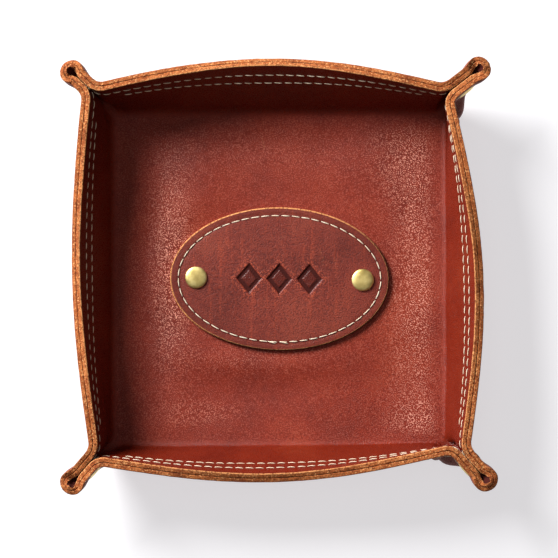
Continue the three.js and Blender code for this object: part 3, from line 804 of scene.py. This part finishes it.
def wall_line(below_rim, distance):
    """The line round the tray so far down from the rim, on the face this far from the middle surface."""
    level = 1 - below_rim / WALL
    row = ON_WALL + int(np.argmin(np.abs(wall_levels - level)))
    return GRID[row] + NORMALS[row] * distance, NORMALS[row] * np.sign(distance)


def rim_row(side, row, rng):
    """The stitches of one row on one wall, on the lined face and on the outer face."""
    reach = SIDE_STEPS + NECK_STEPS + FLANK_STEPS // 2 if row == "outer" else SIDE_STEPS - FINE // 4
    places = (side * 2 * HALF_CORNER + np.arange(-reach, reach + 1)) % AROUND
    faces = []
    for distance in (MIDDLE - STITCH_BED, -MIDDLE):
        line, ups = wall_line(ROW_BELOW_RIM[row], distance)
        faces.append(stitched(line[places], ups[places], False, rng))
    return joined(*faces)


for index, (side_name, _, _) in enumerate(SIDES):
    for row_name in ROW_BELOW_RIM:
        row_rng = np.random.default_rng(ROW_SEEDS[row_name] + index)
        row_points, row_faces = rim_row(index, row_name, row_rng)
        run = f"{row_name}_{side_name}"
        make_piece(f"thread_{run}", "thread", [f"rim_stitch_{run}"], row_points, row_faces, [THREAD])


# ---- The oval patch ----
LOZENGES = (-13.5, 0.0, 13.5)  # places of the plain pressed lozenges along the patch
LOZENGE_HALF = (6.0, 7.2)
LOZENGE_DEPTH = 0.55
LOZENGE_SLOPE = 0.12  # width of a lozenge's sloping edge, as a share of its size
LOZENGE_FIELD = (0.40, 0.50)  # where its raised middle starts, as shares of its size
FIELD_RISE = 0.5  # how far the middle is raised again, as a share of the depth
LOZENGE_RIM = 0.7  # how far outside it the grain is rubbed, as a share of its size
PATCH_AROUND = 400
PATCH_RINGS = 110
PATCH_CORNER = 0.6
PATCH_TOP = FLOOR_TOP + PATCH_THICK
PATCH_SUNK = 0.05  # into the liner, so that no light passes under it
PATCH_UNDER = 2  # how far the underside's ring is drawn in from the edge
PATCH_PILLOW = 0.45
PATCH_SWELLS, PATCH_SWELL_CELL = 0.12, 14
PATCH_GROOVE = 0.14
GROOVE_INSET = PATCH_STITCH_INSET * 0.8


def turned(points):
    """Points drawn with the patch's long axis along X, turned as the patch lies."""
    c, s = math.cos(PATCH_TURN), math.sin(PATCH_TURN)
    x, y, z = np.asarray(points, float).T
    return np.column_stack([c * x - s * y, s * x + c * y, z])


def pressed(points):
    """How deep the three plain lozenges are pressed into the patch, from 0 to 1, and how close each point
    outside them is, from 0 to 1."""
    depth, nearness = 0, 0
    for place in LOZENGES:
        inside = 1 - np.abs(points[:, 0] - place) / LOZENGE_HALF[0] - np.abs(points[:, 1]) / LOZENGE_HALF[1]
        pressed_in = ease(0, LOZENGE_SLOPE, inside) * (1 - FIELD_RISE * ease(*LOZENGE_FIELD, inside))
        depth = np.maximum(depth, pressed_in)
        nearness = np.maximum(nearness, ease(-LOZENGE_RIM, 0.0, inside))
    return depth, nearness


def patch_plate():
    """The oval plate: a pillowed upper face with the pressed motif, and a rounded cut edge. The third result
    is 1 for each face of the cut edge and 0 for the others."""
    angles = np.linspace(0, 2 * np.pi, PATCH_AROUND, endpoint=False)
    circle = np.column_stack([np.cos(angles), np.sin(angles)])
    base = FLOOR_TOP - PATCH_SUNK
    upper = [
        flat(circle * (np.array(PATCH_HALF) - PATCH_CORNER) * share, PATCH_TOP)
        for share in np.linspace(0.008, 1, PATCH_RINGS)
    ]
    for points in upper:
        oval = np.hypot(points[:, 0] / PATCH_HALF[0], points[:, 1] / PATCH_HALF[1])
        groove = np.exp(-((PATCH_HALF[1] * (1 - oval) - GROOVE_INSET) / GROOVE_REACH) ** 2)
        swells = PATCH_SWELLS * cloud(points, PATCH_SWELL_CELL, 8) * (1 - oval)
        pillow = PATCH_PILLOW * (1 - oval**2) + swells
        points[:, 2] += pillow - PATCH_GROOVE * groove - LOZENGE_DEPTH * pressed(points)[0]
    rounded = [
        flat(circle * (np.array(PATCH_HALF) - PATCH_CORNER * (1 - math.sin(a))),
             PATCH_TOP - PATCH_CORNER * (1 - math.cos(a)))
        for a in np.radians([20, 45, 70])
    ]
    side = [
        flat(circle * PATCH_HALF, mix(PATCH_TOP - PATCH_CORNER, base, share))
        for share in (0, 0.33, 0.66, 1)
    ]
    rings = [*upper, *rounded, *side, flat(circle * (np.array(PATCH_HALF) - PATCH_UNDER), base)]
    points = np.concatenate([*rings, [upper[0].mean(0)], [rings[-1].mean(0)]])
    faces = [face[::-1] for face in ring_faces(len(rings), PATCH_AROUND)]
    count, last = len(rings) * PATCH_AROUND, (len(rings) - 1) * PATCH_AROUND
    edge = np.arange(len(faces)) // PATCH_AROUND >= len(upper) - 1
    faces += [[k, (k + 1) % PATCH_AROUND, count] for k in range(PATCH_AROUND)]
    faces += [[last + (k + 1) % PATCH_AROUND, last + k, count + 1] for k in range(PATCH_AROUND)]
    return points, faces, np.concatenate([edge.astype(int), np.zeros(2 * PATCH_AROUND, int)])


SEWN_SHADE, SEWN_REACH = 0.75, 0.5  # how much painted shade darkens the leather along the ring of stitches, in their groove and gaps
MARGIN_WEAR = 0.22  # and outside it
RIM_RUB = 0.8  # how much the grain round the lozenges is rubbed
CUT_EDGE_SHADE = 0.8  # how much painted shade darkens the cut edge at the front right, away from the lamp
PRESSED_FROM = 0.05  # depth from which a place counts as pressed
PATCH_ACROSS = 0.95  # the patch's cut edge looks like the inner corner of the rim's

plate_points, plate_faces, plate_slots = patch_plate()
depth, nearness = pressed(plate_points)
ring_half = np.array(PATCH_HALF) - PATCH_STITCH_INSET
off_ring = (np.hypot(*(plate_points[:, :2] / ring_half).T) - 1) * ring_half.mean()
# Painted shade along the stitches, a darker margin outside them, darker pressed lozenges and paler grain
# round them.
sewn_wear = SEWN_SHADE * np.exp(-((off_ring / SEWN_REACH) ** 2)) + MARGIN_WEAR * ease(0, 1, off_ring)
top_wear = np.where(depth > PRESSED_FROM, depth, sewn_wear - RIM_RUB * nearness)
# Painted shade on the cut edge, at the front right, the side away from the lamp.
towards_back_left = (plate_points[:, :2] / PATCH_HALF) @ (-math.sqrt(0.5), math.sqrt(0.5))
cut_wear = CUT_EDGE_SHADE * (1 - ease(-0.5, 0.5, towards_back_left))
on_cut = np.arange(len(plate_points)) >= PATCH_RINGS * PATCH_AROUND
make_piece(
    "oval_patch", "patch_leather", ["patch_leather"], turned(plate_points), plate_faces, [PATCH, EDGE],
    plate_slots, wear=np.where(on_cut, cut_wear, top_wear), across=np.full(len(plate_points), PATCH_ACROSS),
)

RING_SAMPLES = 600
THREAD_OVER_PATCH = 0.02
TIE_OFF = slice(438, 462)  # the samples where the ring is finished by sewing over its first stitches
TIE_OFF_SHIFT = (0, -0.25, 0.22)

round_patch = np.linspace(0, 2 * np.pi, RING_SAMPLES, endpoint=False)
ring_plan = np.column_stack([np.cos(round_patch), np.sin(round_patch)]) * ring_half
patch_line = flat(ring_plan, PATCH_TOP + THREAD_OVER_PATCH)
patch_ups = np.tile([0.0, 0.0, 1.0], (RING_SAMPLES, 1))
patch_rng = np.random.default_rng(PATCH_SEED)
whole_ring = stitched(patch_line, patch_ups, True, patch_rng, length=4.0, skew=0.05)
tie_off = stitched(patch_line[TIE_OFF] + TIE_OFF_SHIFT, patch_ups[TIE_OFF], False, patch_rng, skew=0.45)
thread_points, thread_faces = joined(whole_ring, tie_off)
make_piece("thread_patch", "thread", ["patch_stitching"], turned(thread_points), thread_faces, [THREAD])


# ---- Rivets ----
CAP_RADIUS = 4.9
CAP_EDGE = 0.5
CAP_DOME = 1.0
CAP_FULLNESS = 0.8  # power that fills out the cap's shoulder
POST = 1.5
PATCH_POST = 5
CAP_OVER_PATCH = 0.1
CORNER_BACK = [(0, 0), (4.1, 0), (4.4, 0.3), (4.3, 0.7), (3.9, 0.9), (2.2, 0.95), (1.9, 0.75), (0, 0.7)]


def cap_profile(post_length):
    """A flat-domed cap with a rolled edge, on its post. Its underside is on height 0."""
    crown = [
        (CAP_RADIUS * math.sin(a) ** CAP_FULLNESS, CAP_EDGE + CAP_DOME * math.cos(a))
        for a in np.linspace(0.03, math.pi / 2, 20)[::-1]
    ]
    post = [(0, -post_length), (POST, -post_length), (POST, 0)]
    rolled_edge = [(CAP_RADIUS - 0.3, 0), (CAP_RADIUS - 0.05, 0.15)]
    return [*post, *rolled_edge, *crown, (0, CAP_EDGE + CAP_DOME)]


def set_along(points, place, direction):
    """Points drawn round Z, turned to a direction and moved to a place."""
    turn = np.array(Vector((0, 0, 1)).rotation_difference(Vector(direction)).to_matrix())
    return points @ turn.T + np.asarray(place, float)


def brass_piece(name, node, profile, place, direction):
    """A turned piece of brass at a place, with its profile's heights along this direction."""
    points, faces = lathe(profile)
    make_piece(name, "brass", [node], set_along(points, place, direction), faces, [BRASS])


for name, along in zip(("left", "right"), PATCH_RIVETS):
    place = turned([(along, 0, PATCH_TOP + CAP_OVER_PATCH)])[0]
    brass_piece(f"patch_cap_{name}", f"patch_rivet_{name}", cap_profile(PATCH_POST), place, (0, 0, 1))

for ear in ears:
    facing = np.array([*ear.across, 0]) * (1 if ear.across[1] < 0 else -1)
    centre = np.array([*(ear.pinch + ear.out * ear.rivet), RIVET_HEIGHT])
    seat = PINCH_HALF + MIDDLE - ear.sunk  # from the ear's middle to the underside of the cap
    cap = cap_profile(2 * seat)
    brass_piece(f"corner_cap_{ear.name}", f"corner_rivet_{ear.name}", cap, centre + facing * seat, facing)
    back_node = f"corner_rivet_base_{ear.name}"
    brass_piece(f"corner_back_{ear.name}", back_node, CORNER_BACK, centre - facing * seat, -facing)

for node in ("patch_rivet_washer_left", "patch_rivet_washer_right"):
    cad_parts[node].data.materials.clear()
    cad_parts[node].data.materials.append(BRASS)


# ---- Floor, light and camera, in metres ----
AIM = np.array([0.75, -1.6, RIM_AT_EAR]) * MM
CAMERA = Vector((0.060, -0.062, 1.18))
VIEW_WIDTH = 0.2440  # width of the picture at the rim's level
SENSOR = 36.0
STAGE_REACH = 3.0
STAGE_GLOW = 0.615
WORLD_LIGHT = 0.10


def make_stage():
    """A plain pale floor, which glows a little to stay pale in this light."""
    mesh = bpy.data.meshes.new("studio_floor")
    reach = STAGE_REACH
    corners = [(-reach, -reach, 0), (reach, -reach, 0), (reach, reach, 0), (-reach, reach, 0)]
    mesh.from_pydata(corners, [], [(0, 1, 2, 3)])
    stage = bpy.data.objects.new("studio_floor", mesh)
    bpy.context.scene.collection.objects.link(stage)
    material = bpy.data.materials.new("studio_floor_paper")
    material.use_nodes = True
    surface = material.node_tree.nodes["Principled BSDF"]
    surface.inputs["Base Color"].default_value = (0.46, 0.46, 0.47, 1)
    surface.inputs["Roughness"].default_value = 0.9
    surface.inputs["Emission Color"].default_value = (0.995, 0.975, 1, 1)
    surface.inputs["Emission Strength"].default_value = STAGE_GLOW
    mesh.materials.append(material)


def make_light(name, place, size, power):
    """A round lamp that faces the tray's middle."""
    data = bpy.data.lights.new(name, "AREA")
    data.shape = "DISK"
    data.size = size
    data.energy = power
    light = bpy.data.objects.new(name, data)
    light.location = place
    light.rotation_euler = (Vector((0, 0, 0)) - Vector(place)).to_track_quat("-Z", "Y").to_euler()
    bpy.context.scene.collection.objects.link(light)


def make_camera():
    """A camera that looks down on the rim, with Y up in the picture."""
    data = bpy.data.cameras.new("camera")
    camera = bpy.data.objects.new("camera", data)
    aim = Vector(AIM)
    back = (CAMERA - aim).normalized()
    right = Vector((0, 1, 0)).cross(back).normalized()
    camera.location = CAMERA
    camera.rotation_euler = Matrix((right, back.cross(right), back)).transposed().to_euler()
    data.sensor_width = SENSOR
    data.lens = SENSOR * (CAMERA - aim).length / VIEW_WIDTH
    data.clip_end = 20
    bpy.context.scene.collection.objects.link(camera)
    bpy.context.scene.camera = camera


make_stage()
make_light("key", place=(-0.95, 0.88, 0.70), size=0.76, power=50)
make_light("overhead_card", place=(0.05, 0.05, 1.40), size=0.95, power=1.4)
make_camera()

world = bpy.data.worlds.new("studio")
world.use_nodes = True
world.node_tree.nodes["Background"].inputs["Color"].default_value = (1, 1, 1, 1)
world.node_tree.nodes["Background"].inputs["Strength"].default_value = WORLD_LIGHT
bpy.context.scene.world = world
bpy.context.scene.view_settings.view_transform = "Standard"
